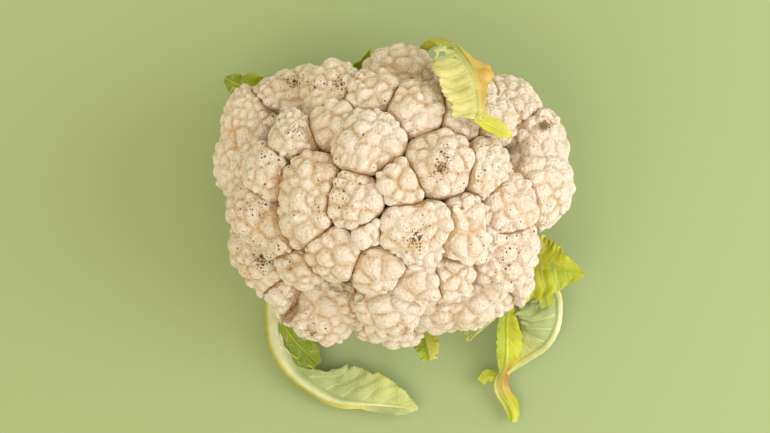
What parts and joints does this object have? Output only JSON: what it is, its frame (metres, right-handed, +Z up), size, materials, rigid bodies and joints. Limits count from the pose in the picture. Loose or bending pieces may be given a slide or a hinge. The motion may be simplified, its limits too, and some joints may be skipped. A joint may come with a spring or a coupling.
{
  "type": "cauliflower",
  "caption": "Whole head of cauliflower: a domed cream curd of packed florets on a short cut stem, with a few limp yellow-green inner leaves under it and one lying on it.",
  "frame": {"origin": "centre of the flat cut face at the foot of the stem, which the head stands on", "axes": "+Z up through the curd's crown, +X towards the side that has the single bright green leaf, +Y towards the side where a leaf climbs up over the curd"},
  "size_m": [0.1909, 0.1996, 0.1239],
  "materials": {
    "curd": "matte and slightly waxy, cream, tan in the creases",
    "stem": "moist pale green, with a cream cut face",
    "leaf": "satin yellow-green blade with pale veins and a thick pale midrib",
    "leaf_base": "moist pale green leaf stalk with a drying cut face"
  },
  "bodies": {
    "root": {"stem": "stem", "floret_crown": "curd", "floret_inner_1": "curd", "floret_inner_2": "curd", "floret_inner_3": "curd", "floret_inner_4": "curd", "floret_inner_5": "curd", "floret_inner_6": "curd", "floret_inner_7": "curd", "floret_inner_8": "curd", "floret_inner_9": "curd", "floret_middle_1": "curd", "floret_middle_2": "curd", "floret_middle_3": "curd", "floret_middle_4": "curd", "floret_middle_5": "curd", "floret_middle_6": "curd", "floret_middle_7": "curd", "floret_middle_8": "curd", "floret_middle_9": "curd", "floret_outer_1": "curd", "floret_outer_10": "curd", "floret_outer_11": "curd", "floret_outer_12": "curd", "floret_outer_13": "curd", "floret_outer_14": "curd", "floret_outer_2": "curd", "floret_outer_3": "curd", "floret_outer_4": "curd", "floret_outer_5": "curd", "floret_outer_6": "curd", "floret_outer_7": "curd", "floret_outer_8": "curd", "floret_outer_9": "curd", "leaf_back": "leaf", "leaf_back_left": "leaf", "leaf_back_small": "leaf", "leaf_front": "leaf", "leaf_front_left": "leaf", "leaf_front_right": "leaf", "leaf_front_under": "leaf", "leaf_right": "leaf", "leaf_base_1": "leaf_base", "leaf_base_2": "leaf_base", "leaf_base_3": "leaf_base", "leaf_base_4": "leaf_base"}
  },
  "joints": []
}
